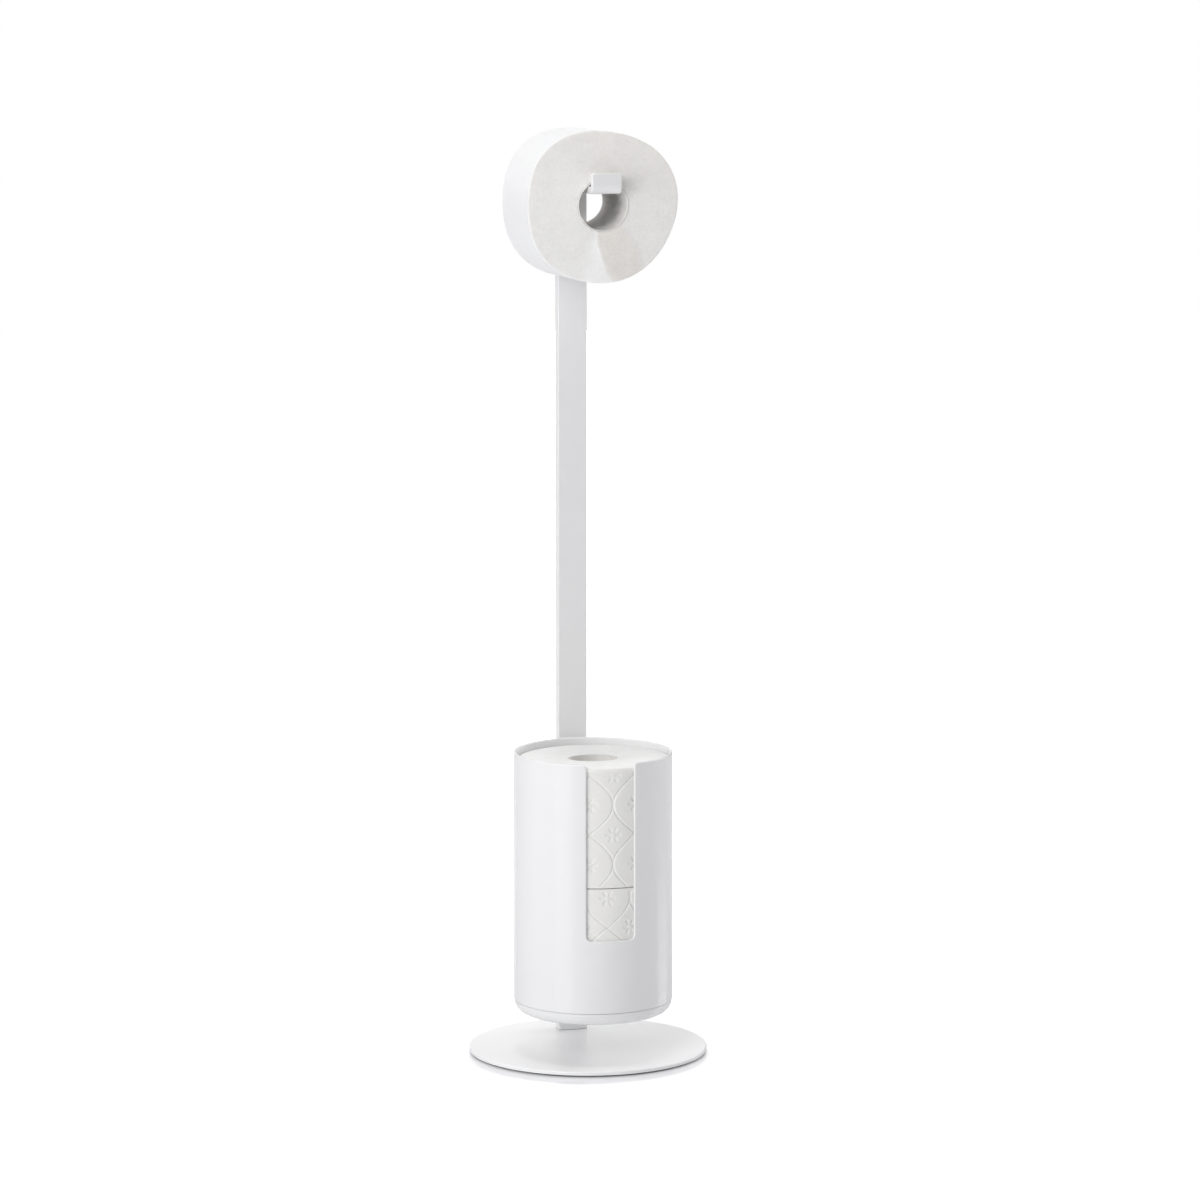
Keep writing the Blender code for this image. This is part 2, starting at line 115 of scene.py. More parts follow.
# Sizes that the frame's boxes don't give
BASE_TOP_ROUND = 0.0010
BASE_LOW_ROUND = 0.00015
SEAT_GAP = 0.0003
SEAT_RIM = 0.0004
SEAT_SHANK = 0.0025
# How far a cut reaches past the piece that it cuts
CUT_REACH = 0.004
CAN_WALL = 0.0018
CAN_EDGE_ROUND = 0.0012
CAN_EDGE_BLEND = 0.0026
CAN_SEAM_ROUND = 0.0003
CAN_SCREW_HOLE = 0.0028
# Faces no farther out than this past the inner wall have the inside's coat, the copy painted lighter as
# painted light in the tube
INSIDE_REACH = 0.0003
SLOT_HALF = 0.0204
SLOT_BOTTOM = 0.1108
SLOT_LOW_CORNER = 0.0045
SLOT_TOP_CORNER = 0.0030
PAN_ROUND = 0.0106
PAN_WALL = 0.0015
PAN_SEAM_GAP = 0.00015
SPIGOT_GAP = 0.0003
SPIGOT_ROUND = 0.0004
ARM_THICK = 0.0060
ARM_BEND_INNER = 0.0015
ARM_RISE = math.radians(2.0)
ARM_EDGE_ROUND = 0.0005
ARM_SCREW_HOLE = 0.0023
ARM_SCREW_CUT = 0.020
LIP_CORNER = 0.0025
POST_DEPTH = 0.0120
POST_WALL = 0.0018
POST_TOP_GAP = 0.0003
ROLL_LENGTH = 0.100
CORE_WALL = 0.0008
CORE_BORE = 0.0203
CORE_GAP = 0.0003
CARD_EDGE_ROUND = 0.00015
CARD_WAVES = 12
CARD_WAVE_HEIGHT = 0.0001
CARD_WAVE_REACH = 0.006

# The spare rolls: the gap and the edges at their joint, the upper one's rounded, leaning top that
# sinks towards its core, and how far they stand out past their solids
JOINT_GAP = 0.0001
JOINT_EDGE = 0.0004
TOP_EDGE = 0.0034
TOP_LEAN = 0.018
HOLE_DIP = 0.0016
HOLE_DIP_LEAN = 0.5
SPARE_PROUD = 0.0020
# Where the outer layer ends, in radians round the roll, and the step that it makes
SPARE_TAIL = 2.0
HANGING_TAIL = math.radians(75)
TAIL_STEP = 0.00035
# Waves of a roll's outline, from the longest on: cosine and sine, as shares of its radius
SPARE_WAVES = ((0, -0.0096),)
HANGING_WAVES = ((-0.0140, -0.0050), (0.0094, 0.0060), (0.0160, 0.0142), (-0.0123, 0.0092),
                 (0.0026, 0.0016))
BUMP_WAVES = 24
BUMP_HEIGHT = 0.00025
BUMP_POINTS = 400
RIPPLE_HEIGHT = 0.00012

# The hanging roll: its core is pressed wide at the back, and its front is a low cone with a fold.
# The fold's lines lie at these degrees at the core and at the rim, each with a height and a tint:
# warmth, and painted shade on the fold's side that falls away from the light
HANGING_RADIUS = 0.0634
HANGING_EDGE = 0.0012
HANGING_PRESSED = 0.3
CORE_SPREAD = 0.0026
CONE_HEIGHT = 0.0022
FRONT_INSET = 0.0006
FOLD_CORE_DEGREES = (-180, -116, -109, -107, -104, -102, -98, -50, -40, -26, 20, 90, 180)
FOLD_RIM_DEGREES = (-180, -112, -105, -99, -85, -82, -78, -62, -55, -34, 20, 90, 180)
FOLD_HEIGHTS = (0, -0.0004, 0, 0.0008, 0.0033, 0.0037, 0.0034, 0.0006, -0.0003, 0, 0.0002, 0.0003, 0)
FOLD_WARMTH_AND_SHADE = (0.2, 0.2, 0.1, 0, 0, 0.6, 0.85, 0.9, 0.3, 0.25, 0.5, 0.6, 0.2)
FOLD_EASE = 0.7
# How the fold's lines waver on their way out: degrees, waves and shift
FOLD_WAVERS = ((0.7, 9, 0), (0.4, 23, 2))
# Ripples round the front: waves and shift
FRONT_RIPPLES = ((5, 1), (9, 0))

# The pattern pressed into the tissue, and the wound layers' edges on its ends
CELL_WIDTH = 0.040
CELL_HEIGHT = 0.050
LINE_WIDTH = 0.0008
PETALS = 6.0
PETAL_LENGTH = 0.0066
PETAL_WIDTH = 0.0012
PETAL_MIDDLE = 0.62
EMBOSS_DEPTH = 0.0007
EMBOSS_FADE = 40
SEED_SHIFT_ALONG = 0.0075
SEED_SHIFT_UP = 0.011
LAYER_TURNS = 26.0
LAYER_INSET = 0.001
LAYER_RADIUS = 0.00016
LAYER_WANDER = 0.002
LAYER_LOOK = 0.010


class Value:
    """A node socket on which Python's operators work."""

    def __init__(self, nodes, socket):
        self.nodes = nodes
        self.socket = socket

    def math(self, operation, *others):
        """A Math node's result, from this value and any others."""
        return self.nodes.node("ShaderNodeMath", {"operation": operation}, (self, *others))

    def __add__(self, other):
        return self.math("ADD", other)

    def __sub__(self, other):
        return self.math("SUBTRACT", other)

    def __rsub__(self, other):
        return self * -1 + other

    def __mul__(self, other):
        return self.math("MULTIPLY", other)

    def __truediv__(self, other):
        return self.math("DIVIDE", other)

    __radd__ = __add__
    __rmul__ = __mul__

    def fraction(self):
        return self.math("FRACT")

    def size(self):
        return self.math("ABSOLUTE")

    def smooth(self, low, high):
        """0 below low, 1 above high, and a smooth step between them."""
        return self.nodes.node("ShaderNodeMapRange", {"interpolation_type": "SMOOTHSTEP"},
                               {"Value": self, "From Min": low, "From Max": high})


class Nodes:
    """A node tree, with the one way to add a node to it."""

    def __init__(self, tree):
        self.tree = tree

    def node(self, kind, settings, sockets, output=0):
        """Adds a node: its settings first, then its sockets by index or name."""
        made = self.tree.nodes.new(kind)
        for name, value in settings.items():
            setattr(made, name, value)
        pairs = sockets.items() if isinstance(sockets, dict) else enumerate(sockets)
        for key, value in pairs:
            self.feed(made.inputs[key], value)
        return Value(self, made.outputs[output])

    def feed(self, socket, value):
        """Links a value to a socket, or sets the socket to a plain number, colour or material."""
        if isinstance(value, Value):
            self.tree.links.new(value.socket, socket)
        else:
            socket.default_value = value

    def vector(self, operation, sockets, output="Vector"):
        """A Vector Math node's result."""
        return self.node("ShaderNodeVectorMath", {"operation": operation}, sockets, output)

    def place(self, output="Object"):
        """The point in the piece's own space, or another of the coordinates that Blender offers."""
        return self.node("ShaderNodeTexCoord", {}, {}, output)

    def ray(self, kind):
        """1 for rays of a kind, such as Is Camera Ray, and 0 for others."""
        return self.node("ShaderNodeLightPath", {}, {}, kind)


class Finish(Nodes):
    """A material with its shader."""

    def __init__(self, name, colour, roughness, metallic=0.0):
        self.material = bpy.data.materials.new(name)
        self.material.use_nodes = True
        super().__init__(self.material.node_tree)
        self.shade("Base Color", (*colour, 1))
        self.shade("Roughness", roughness)
        self.shade("Metallic", metallic)

    def shade(self, name, value):
        """Feeds one of the shader's sockets, or sets it to a plain number or colour."""
        self.feed(self.tree.nodes["Principled BSDF"].inputs[name], value)

    def stretched(self, where, scales):
        """A place scaled along each axis by its own number."""
        return self.vector("MULTIPLY", [where, scales])

    def noise(self, where, scale, detail, rough):
        """Cloudy noise between 0 and 1, with so many patches to the metre."""
        return self.node("ShaderNodeTexNoise", {}, {"Vector": where, "Scale": scale, "Detail": detail,
                                                    "Roughness": rough})

    def blend(self, share, first, second):
        """A colour between two, by a share. Sockets 6, 7 and 2 are the node's colours."""
        return self.node("ShaderNodeMix", {"data_type": "RGBA"},
                         {0: share, 6: (*first, 1), 7: (*second, 1)}, 2)

    def tinted(self, colour, full_tint):
        """A colour times a tint, by a share that the mesh's points hold: warmth, and painted shade on the
        hanging roll's fold.
        """
        warmth_and_shade = self.node("ShaderNodeAttribute", {"attribute_name": "warm_and_shaded"}, {}, "Fac")
        return self.vector("MULTIPLY", [colour, self.blend(warmth_and_shade, (1, 1, 1), full_tint)])

    def relief(self, height, depth):
        """Turns a height between 0 and 1 into a bumped normal of that depth in metres."""
        bump = self.node("ShaderNodeBump", {}, {"Strength": 1.0, "Distance": depth, "Height": height})
        self.shade("Normal", bump)


class Rule(Nodes):
    """A Geometry Nodes tree with named inputs, each given as a name and its socket's type."""

    def __init__(self, name, kinds):
        super().__init__(bpy.data.node_groups.new(name, "GeometryNodeTree"))
        face = self.tree.interface
        face.new_socket("Geometry", in_out="INPUT", socket_type="NodeSocketGeometry")
        face.new_socket("Geometry", in_out="OUTPUT", socket_type="NodeSocketGeometry")
        self.keys = {}
        for key, kind in kinds.items():
            entry = face.new_socket(key, in_out="INPUT", socket_type="NodeSocket" + kind)
            self.keys[key] = entry.identifier
        self.entry = self.tree.nodes.new("NodeGroupInput")

    def bell(self, distance):
        """1 at distance 0, falling off like a bell to nothing past 2 or so."""
        return (distance * distance * -1).math("EXPONENT")

    def given(self, key):
        """One of the tree's inputs."""
        return Value(self, self.entry.outputs[key])

    def stored(self, key):
        """A number that the mesh holds at each point or face under a name."""
        return self.node("GeometryNodeInputNamedAttribute", {"data_type": "FLOAT"}, {"Name": key},
                         "Attribute")

    def scaled(self, vector, number):
        """A vector times a number."""
        return self.vector("SCALE", {0: vector, "Scale": number})

    def summed(self, *vectors):
        """The sum of some vectors."""
        total = vectors[0]
        for vector in vectors[1:]:
            total = self.vector("ADD", [total, vector])
        return total

    def end(self, geometry, *dressings):
        """Ends the tree: real geometry, then a material on all faces or on those that a value picks."""
        real = self.node("GeometryNodeRealizeInstances", {}, {0: geometry})
        for material, *picked in dressings:
            inputs = {"Geometry": real, "Material": material}
            if picked:
                inputs["Selection"] = picked[0]
            real = self.node("GeometryNodeSetMaterial", {}, inputs)
        finish = self.tree.nodes.new("NodeGroupOutput")
        self.feed(finish.inputs[0], real)

    def bake(self, piece, sizes):
        """Runs the tree on a piece with these sizes and keeps the result as its plain mesh."""
        modifier = piece.modifiers.new("rule", "NODES")
        modifier.node_group = self.tree
        for key, size in sizes.items():
            plain = float(size) if np.isscalar(size) else [float(part) for part in size]
            modifier[self.keys[key]] = plain
        settle(piece)


def settle(piece):
    """Makes what a piece's modifiers give its plain mesh, and removes them."""
    evaluated = piece.evaluated_get(bpy.context.evaluated_depsgraph_get())
    mesh = bpy.data.meshes.new_from_object(evaluated)
    piece.modifiers.clear()
    old = piece.data
    piece.data = mesh
    bpy.data.meshes.remove(old)


def added(name, data):
    """A new object in the scene from a mesh, a lamp or a camera."""
    thing = bpy.data.objects.new(name, data)
    bpy.context.scene.collection.objects.link(thing)
    return thing


def mesh_from(name, data):
    """A mesh from bmesh data, which this frees."""
    mesh = bpy.data.meshes.new(name)
    data.to_mesh(mesh)
    data.free()
    return mesh


def powder_coat(name, darkest, lightest, smoothest):
    """Powder coat: a satin skin with a fine orange peel, and a faint drift of tone."""
    coat = Finish(name, lightest, smoothest)
    where = coat.place()
    peel = coat.noise(where, scale=620, detail=2.0, rough=0.45)
    drift = coat.noise(where, scale=9, detail=2.0, rough=0.5)
    grain = coat.noise(where, scale=2600, detail=1.0, rough=0.5)
    coat.shade("Base Color", coat.blend(drift, darkest, lightest))
    coat.shade("Roughness", smoothest + peel * 0.07)
    coat.relief(peel * 0.8 + grain * 0.2, depth=0.00003)
    return coat.material


def tissue_side():
    """The outside of a roll: soft paper with crepe lines along the roll's axis, darker than the ends'
    copy, which is painted lighter. Points hold a tint's share, which is warmer on the spare rolls."""
    paper = Finish("tissue outside", (0.88, 0.875, 0.86), roughness=0.95)
    where = paper.place("UV")
    crepe = paper.noise(paper.stretched(where, (3200, 420, 1)), scale=1.0, detail=2.0, rough=0.6)
    fibres = paper.noise(where, scale=900, detail=4.0, rough=0.65)
    cloud = paper.noise(where, scale=60, detail=3.0, rough=0.55)
    plain = paper.blend(fibres * 0.5 + cloud * 0.5, (0.852, 0.854, 0.862), (0.914, 0.916, 0.922))
    paper.shade("Base Color", paper.tinted(plain, (1.035, 1.025, 0.998)))
    paper.shade("Roughness", 0.9 + crepe * 0.1)
    paper.relief(crepe * 0.5 + fibres * 0.5, depth=0.00012)
    paper.shade("Specular IOR Level", 0.2)
    paper.shade("Sheen Weight", 0.4)
    return paper.material


def tissue_end():
    """The end of a roll: cottony cut edges of the wound layers, with faint uneven rings, in a copy of
    the paper painted lighter than the outside, as painted light. Points hold a tint's share, which on
    the hanging roll's fold is painted shade."""
    paper = Finish("tissue layers", (0.92, 0.915, 0.90), roughness=0.98)
    where = paper.place("UV")
    layers = paper.noise(paper.stretched(where, (60, 1500, 1)), scale=1.0, detail=3.0, rough=0.65)
    fluff = paper.noise(paper.place(), scale=420, detail=5.0, rough=0.72)
    lumps = paper.noise(paper.place(), scale=95, detail=3.0, rough=0.6)
    tone = (layers * 0.2 + fluff * 0.45 + lumps * 0.35).smooth(0.32, 0.68)
    # The ends' paper is painted lighter than the outside's: painted light on the roll's faces
    plain = paper.blend(tone, (0.900, 0.898, 0.889), (0.985, 0.984, 0.980))
    # A darker, warmer tint where points hold it: painted shade on the hanging roll's fold
    paper.shade("Base Color", paper.tinted(plain, (0.965, 0.925, 0.875)))
    paper.shade("Roughness", 0.92 + fluff * 0.08)
    paper.relief(layers * 0.2 + fluff * 0.5 + lumps * 0.3, depth=0.0007)
    paper.shade("Specular IOR Level", 0.15)
    paper.shade("Sheen Weight", 0.4)
    return paper.material


def grey_card():
    """The core: pale grey card with a wound seam, whose UV counts turns and metres of height."""
    card = Finish("grey card", (0.84, 0.825, 0.80), roughness=0.85)
    turned = card.node("ShaderNodeSeparateXYZ", {}, [card.place("UV")], "X")
    height = Value(card, turned.socket.node.outputs["Y"])
    seam_pitch = 0.062
    seam_place = (height / seam_pitch - turned).fraction()
    seam = 1 - (seam_place - 0.5).size().smooth(0.004, 0.014)
    fibres = card.noise(card.place(), scale=1100, detail=4.0, rough=0.65)
    specks = card.noise(card.place(), scale=260, detail=2.0, rough=0.5)
    card.shade("Base Color", card.blend(fibres * 0.6 + specks * 0.4 - seam * 0.5,
                                        (0.84, 0.82, 0.79), (0.95, 0.94, 0.92)))
    card.shade("Roughness", 0.8 + fibres * 0.15)
    card.relief(fibres * 0.3 - seam, depth=0.0002)
    return card.material


def zinc_steel():
    """Zinc-plated steel: a satin metal with fine turned streaks and cloudy patches."""
    zinc = Finish("zinc steel", (0.62, 0.63, 0.65), roughness=0.32, metallic=1.0)
    where = zinc.place()
    patches = zinc.noise(where, scale=500, detail=3.0, rough=0.6)
    streaks = zinc.noise(zinc.stretched(where, (400, 400, 6000)), scale=1.0, detail=2.0, rough=0.5)
    zinc.shade("Base Color", zinc.blend(patches, (0.54, 0.55, 0.57), (0.70, 0.71, 0.73)))
    zinc.shade("Roughness", 0.24 + patches * 0.1 + streaks * 0.12)
    zinc.relief(streaks, depth=0.00001)
    return zinc.material


def white_plastic():
    """Moulded white plastic with a fine matt grain."""
    plastic = Finish("white plastic", (0.80, 0.80, 0.805), roughness=0.5)
    where = plastic.place()
    grain = plastic.noise(where, scale=3000, detail=2.0, rough=0.6)
    drift = plastic.noise(where, scale=120, detail=2.0, rough=0.5)
    plastic.shade("Base Color", plastic.blend(drift, (0.78, 0.78, 0.785), (0.82, 0.82, 0.825)))
    plastic.shade("Roughness", 0.46 + grain * 0.12)
    plastic.relief(grain, depth=0.00002)
    return plastic.material


def dark_foam():
    """Closed-cell foam: dark, dull, with small open cells."""
    foam = Finish("dark foam", (0.085, 0.085, 0.09), roughness=0.9)
    where = foam.place()
    cells = foam.node("ShaderNodeTexVoronoi", {}, {"Vector": where, "Scale": 1300}, "Distance")
    dust = foam.noise(where, scale=200, detail=3.0, rough=0.6)
    foam.shade("Base Color", foam.blend(dust, (0.07, 0.07, 0.075), (0.12, 0.12, 0.125)))
    foam.shade("Roughness", 0.82 + cells * 0.15)
    foam.relief(cells, depth=0.0002)
    return foam.material


def studio_white():
    """The floor: white and slightly glossy. To the camera it adds light of its own, little near the
    object and more farther off, so that it renders white where nothing shades it."""
    floor = Finish("studio white", (0.84, 0.84, 0.86), roughness=0.03)
    floor.shade("IOR", 1.45)
    floor.shade("Emission Strength", 1)
    where = floor.place()
    far = floor.vector("LENGTH", [where], "Value")
    from_band = floor.vector("DISTANCE", [where, BAND_REACH * direction(CAMERA_AZIMUTH, 0)], "Value")
    glow = FLOOR_GLOW + from_band.smooth(*BAND_EDGE) * FLOOR_GLOW_PAST_BAND + far.smooth(*FLOOR_FADE)
    seen = floor.ray("Is Camera Ray") + floor.ray("Is Glossy Ray") * FLOOR_GLOW_MIRRORED
    floor.shade("Emission Color", seen * glow)
    return floor.material


COAT = powder_coat("white powder coat", (0.86, 0.86, 0.865), (0.88, 0.88, 0.885), smoothest=0.18)
# A lighter copy of the white coat, as painted light: it stands in for light that the base's top under the
# canister and the tube's inside lack
PAINTED_LIGHT_COAT = powder_coat("lighter powder coat", (0.925, 0.925, 0.93), (0.94, 0.94, 0.945),
                         smoothest=0.32)
TISSUE_SIDE = tissue_side()
TISSUE_END_PAINTED_LIGHTER = tissue_end()
CARD = grey_card()
ZINC = zinc_steel()
PLASTIC = white_plastic()
FOAM = dark_foam()


def extent(node):
    """A node's lowest and highest corner, as arrays."""
    low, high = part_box(node)
    return np.array(low), np.array(high)


def middle(node):
    """The middle of a node's box."""
    return sum(extent(node)) / 2


def round_extent(node):
    """A round node's lowest and highest corner, its middle and its radius."""
    low, high = extent(node)
    return low, high, middle(node), (high[0] - low[0]) / 2


def rounded_path(corners, closed=False):
    """Points along a path of (x, y, radius) corners, each rounded by an arc, with a point a little
    before and after each arc that keeps the flats flat when the piece is shaded smooth."""
    points = []
    count = len(corners)
    for i, (x, y, radius) in enumerate(corners):
        here = np.array((x, y), float)
        if radius == 0 or (not closed and i in (0, count - 1)):
            points.append(here)
            continue
        before = np.array(corners[i - 1][:2], float) - here
        after = np.array(corners[(i + 1) % count][:2], float) - here
        before, after = before / np.linalg.norm(before), after / np.linalg.norm(after)
        half_turn = math.acos(np.clip(before @ after, -1, 1)) / 2
        reach = radius / math.tan(half_turn)
        centre = here + (before + after) / np.linalg.norm(before + after) * radius / math.sin(half_turn)
        start, end = here + before * reach - centre, here + after * reach - centre
        turn = math.atan2(start[0] * end[1] - start[1] * end[0], start @ end)
        points.append(here + before * (reach + radius * SUPPORT_SHARE))
        for step in range(ARC_STEPS + 1):
            a = turn * step / ARC_STEPS
            spin = np.array(((math.cos(a), -math.sin(a)), (math.sin(a), math.cos(a))))
            points.append(centre + spin @ start)
        points.append(here + after * (reach + radius * SUPPORT_SHARE))
    return np.array(points)


def level(turns):
    """Nothing at any turn."""
    return 0 * turns


def rings(axes, turns, rows):
    """Rows of points round an axis, from (radius, height) pairs. The axes are the origin, the
    directions to the right and up, and the axis itself."""
    origin, right, up, axis = (np.array(vector) for vector in axes)
    return np.array([origin + np.outer(radius * np.cos(turns), right)
                     + np.outer(radius * np.sin(turns), up) + np.outer(height + level(turns), axis)
                     for radius, height in rows])


def skin(name, grid, materials, uv=None, ring=False, stored=None):
    """A closed mesh from rows of points. Each row is a closed loop, and the rows are joined in
    order. With ring the last row joins the first, and otherwise the end rows are poles or caps.
    The UV map takes a number for each column, one more than there are, and one for each row. The
    stored numbers are kept on the points under their names."""
    rows, columns = grid.shape[:2]
    last = rows if ring else rows - 1
    i, j = np.meshgrid(np.arange(last), np.arange(columns), indexing="ij")
    following, beside = (i + 1) % rows, (j + 1) % columns
    faces = np.stack([i * columns + j, i * columns + beside, following * columns + beside,
                      following * columns + j], axis=-1).reshape(-1, 4)
    mesh = bpy.data.meshes.new(name)
    mesh.from_pydata(grid.reshape(-1, 3).tolist(), [], faces.tolist())
    if uv is not None:
        layer = mesh.uv_layers.new(name="metres")
        around, down = np.array(uv[0], float), np.array([*uv[1], uv[1][0]], float)
        wide = np.stack(np.meshgrid(around, down), axis=-1)
        corners = np.stack([wide[i, j], wide[i, j + 1], wide[i + 1, j + 1], wide[i + 1, j]], axis=2)
        layer.data.foreach_set("uv", corners.reshape(-1).astype(np.float32))
    for material in materials:
        mesh.materials.append(material)
    for key, numbers in (stored or {}).items():
        held = mesh.attributes.new(key, "FLOAT", "POINT")
        spread = np.broadcast_to(numbers, (rows, columns)).reshape(-1)
        held.data.foreach_set("value", spread.astype(np.float32))
    return close_up(name, mesh)


def close_up(name, mesh):
    """Merges doubles, fills open ends, turns the faces outwards and makes the object. A thin shell
    whose faces all come out inside out is turned round."""
    data = bmesh.new()
    data.from_mesh(mesh)
    bmesh.ops.remove_doubles(data, verts=data.verts, dist=DOUBLES)
    bmesh.ops.holes_fill(data, edges=[e for e in data.edges if e.is_boundary], sides=0)
    bmesh.ops.recalc_face_normals(data, faces=data.faces)
    if data.calc_volume(signed=True) < 0:
        bmesh.ops.reverse_faces(data, faces=data.faces)
    data.to_mesh(mesh)
    data.free()
    mesh.shade_smooth()
    mesh.set_sharp_from_angle(angle=math.radians(SHARP_ANGLE))
    return added(name, mesh)


def lathe(name, profile, centre, material):
    """A solid turned about a vertical axis from (radius, height) points."""
    turns = np.linspace(0, math.tau, ROUND_SIDES, endpoint=False)
    axes = ((centre[0], centre[1], 0), (1, 0, 0), (0, 1, 0), (0, 0, 1))
    return skin(name, rings(axes, turns, profile), [material])


def carve(piece, cutter, operation="DIFFERENCE"):
    """Cuts a piece with another mesh, or joins the two, and removes the other. Corners that the cut
    leaves in one place are merged, so that no face between them is left without an area."""
    modifier = piece.modifiers.new("carve", "BOOLEAN")
    modifier.object = cutter
    modifier.operation = operation
    settle(piece)
    bpy.data.objects.remove(cutter)
    data = bmesh.new()
    data.from_mesh(piece.data)
    bmesh.ops.remove_doubles(data, verts=data.verts, dist=DOUBLES)
    data.to_mesh(piece.data)
    data.free()
    piece.data.set_sharp_from_angle(angle=math.radians(SHARP_ANGLE))


def cut(piece, profile, start, way):
    """Cuts a round hole: a turned solid of (radius, distance) points, from a start along a way."""
    turns = np.linspace(0, math.tau, CUTTER_SIDES, endpoint=False)
    axis = Vector(way)
    side = axis.orthogonal().normalized()
    grid = rings((start, side, axis.cross(side), axis), turns, profile)
    carve(piece, skin("cutter", grid, []))


def bore(piece, radius, length, start, way):
    """Cuts a plain round hole, from a start ahead of the piece."""
    cut(piece, [(0, 0), (radius, 0), (radius, length), (0, length)], start, way)


def finish_piece(piece, body, slot, *nodes):
    """Puts a piece on the body that it rides on and hides the nodes that it stands for. The slot, which
    would say where its finish comes from, is not used.
    """
    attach(piece, body)
    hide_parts(*nodes)


def build_base():
    """The disc, turned with rounded edges, with its two countersunk screw holes."""
    low, high, centre, radius = round_extent("base_plate")
    corners = [(0, low[2], 0), (radius, low[2], BASE_LOW_ROUND), (radius, high[2], BASE_TOP_ROUND),
               (0, high[2], 0)]
    # The disc has the copy of the coat painted lighter, as painted light under the canister
    disc = lathe("base_disc", rounded_path(corners), centre, PAINTED_LIGHT_COAT)
    for node in ("base_screw_left", "base_screw_right"):
        screw_low, _, place, head = round_extent(node)
        rim = screw_low[2] - low[2] + SEAT_RIM
        shank = SEAT_SHANK + SEAT_GAP
        profile = [(0, -CUT_REACH), (head + SEAT_GAP, -CUT_REACH), (head + SEAT_GAP, rim),
                   (shank, rim + head - SEAT_SHANK), (shank, CUT_REACH * 2), (0, CUT_REACH * 2)]
        cut(disc, profile, (place[0], place[1], low[2]), (0, 0, 1))
    finish_piece(disc, "root", "white_coat", "base_plate")


def slot_edge(rim, radius):
    """The shell's upper edge, unrolled: points (distance round the tube, height), the direction
    into the wall at each, and evenly spaced places round the lower edge that they are drawn down
    to. One half is made, from the back to the middle of the slot, and mirrored."""
    half = math.asin(SLOT_HALF / radius) * radius
    low, top = SLOT_LOW_CORNER, SLOT_TOP_CORNER
    around = np.linspace(math.pi * radius, half + top, RIM_POINTS, endpoint=False)
    edge = [((place, rim), (0, -1)) for place in around]
    for a in np.radians(np.linspace(90, 180, SLOT_CORNER_STEPS + 1)):
        edge.append(((half + top + top * math.cos(a), rim - top + top * math.sin(a)),
                     (-math.cos(a), -math.sin(a))))
    down = np.linspace(rim - top, SLOT_BOTTOM + low, SLOT_SIDE_POINTS)[1:-1]
    edge += [((half, height), (1, 0)) for height in down]
    for a in np.radians(np.linspace(0, -90, SLOT_CORNER_STEPS + 1)):
        edge.append(((half - low + low * math.cos(a), SLOT_BOTTOM + low + low * math.sin(a)),
                     (math.cos(a), math.sin(a))))
    across = np.linspace(half - low, 0, SLOT_LOW_POINTS)[1:]
    edge += [((place, SLOT_BOTTOM), (0, -1)) for place in across]
    points, inward = (np.array(part, float) for part in zip(*edge))
    feet = np.linspace(math.pi * radius, 0, len(points))
    mirror = np.array((-1, 1))
    points = np.concatenate([points, (points[1:-1] * mirror)[::-1]])
    inward = np.concatenate([inward, (inward[1:-1] * mirror)[::-1]])
    return points, inward, np.concatenate([feet, -feet[1:-1][::-1]])


def build_shell():
    """The slotted tube: rows run from the seam up the outside, round the edge of the rim and the
    slot, and down the inside, which has the copy of the coat painted lighter, as painted light inside the
    tube."""
    low, high, _, radius = round_extent("canister_shell")
    inner = radius - CAN_WALL
    centre_y = high[1] - radius
    edge, inward, feet = slot_edge(high[2], radius)
    seam = low[2]
    rows = []

    def row(flat, distance):
        angle = flat[:, 0] / radius
        rows.append(np.stack([distance * np.sin(angle), centre_y - distance * np.cos(angle),
                              flat[:, 1]], axis=-1))

    def drawn(share, foot_height, start):
        top = edge + inward * start
        foot = np.stack([feet, np.full(len(feet), foot_height)], axis=-1)
        return foot + (top - foot) * share

    for a in np.radians(np.linspace(90, 0, ARC_STEPS)):
        row(drawn(0, seam + CAN_SEAM_ROUND * (1 - math.sin(a)), 0),
            radius - CAN_SEAM_ROUND * (1 - math.cos(a)))
    for share in SHELL_ROW_SHARES[1:]:
        row(drawn(share, seam + CAN_SEAM_ROUND, CAN_EDGE_BLEND), radius)
    row(edge + inward * CAN_EDGE_ROUND * (1 + SUPPORT_SHARE), radius)
    turns = np.radians(np.linspace(0, 90, ARC_STEPS + 2))
    for side, arc in ((1, turns), (-1, turns[-2::-1])):
        for b in arc:
            row(edge + inward * CAN_EDGE_ROUND * (1 - math.sin(b)),
                radius - CAN_EDGE_ROUND * (1 - side * math.cos(b)))
    for share in SHELL_ROW_SHARES[::-1]:
        row(drawn(share, seam, CAN_EDGE_BLEND), inner)
    shell = skin("canister_tube", np.array(rows), [COAT, PAINTED_LIGHT_COAT], ring=True)
    # Faces of the inside get the copy of the coat painted lighter, as painted light in the tube
    inside = inner + INSIDE_REACH
    for face in shell.data.polygons:
        if math.hypot(face.center.x, face.center.y - centre_y) < inside:
            face.material_index = 1
    for node in ("canister_screw_lower", "canister_screw_upper"):
        start = (0, high[1] - CAN_WALL - CUT_REACH, middle(node)[2])
        bore(shell, CAN_SCREW_HOLE, CAN_WALL + 2 * CUT_REACH, start, (0, 1, 0))
    finish_piece(shell, "root", "white_coat", "canister_shell")


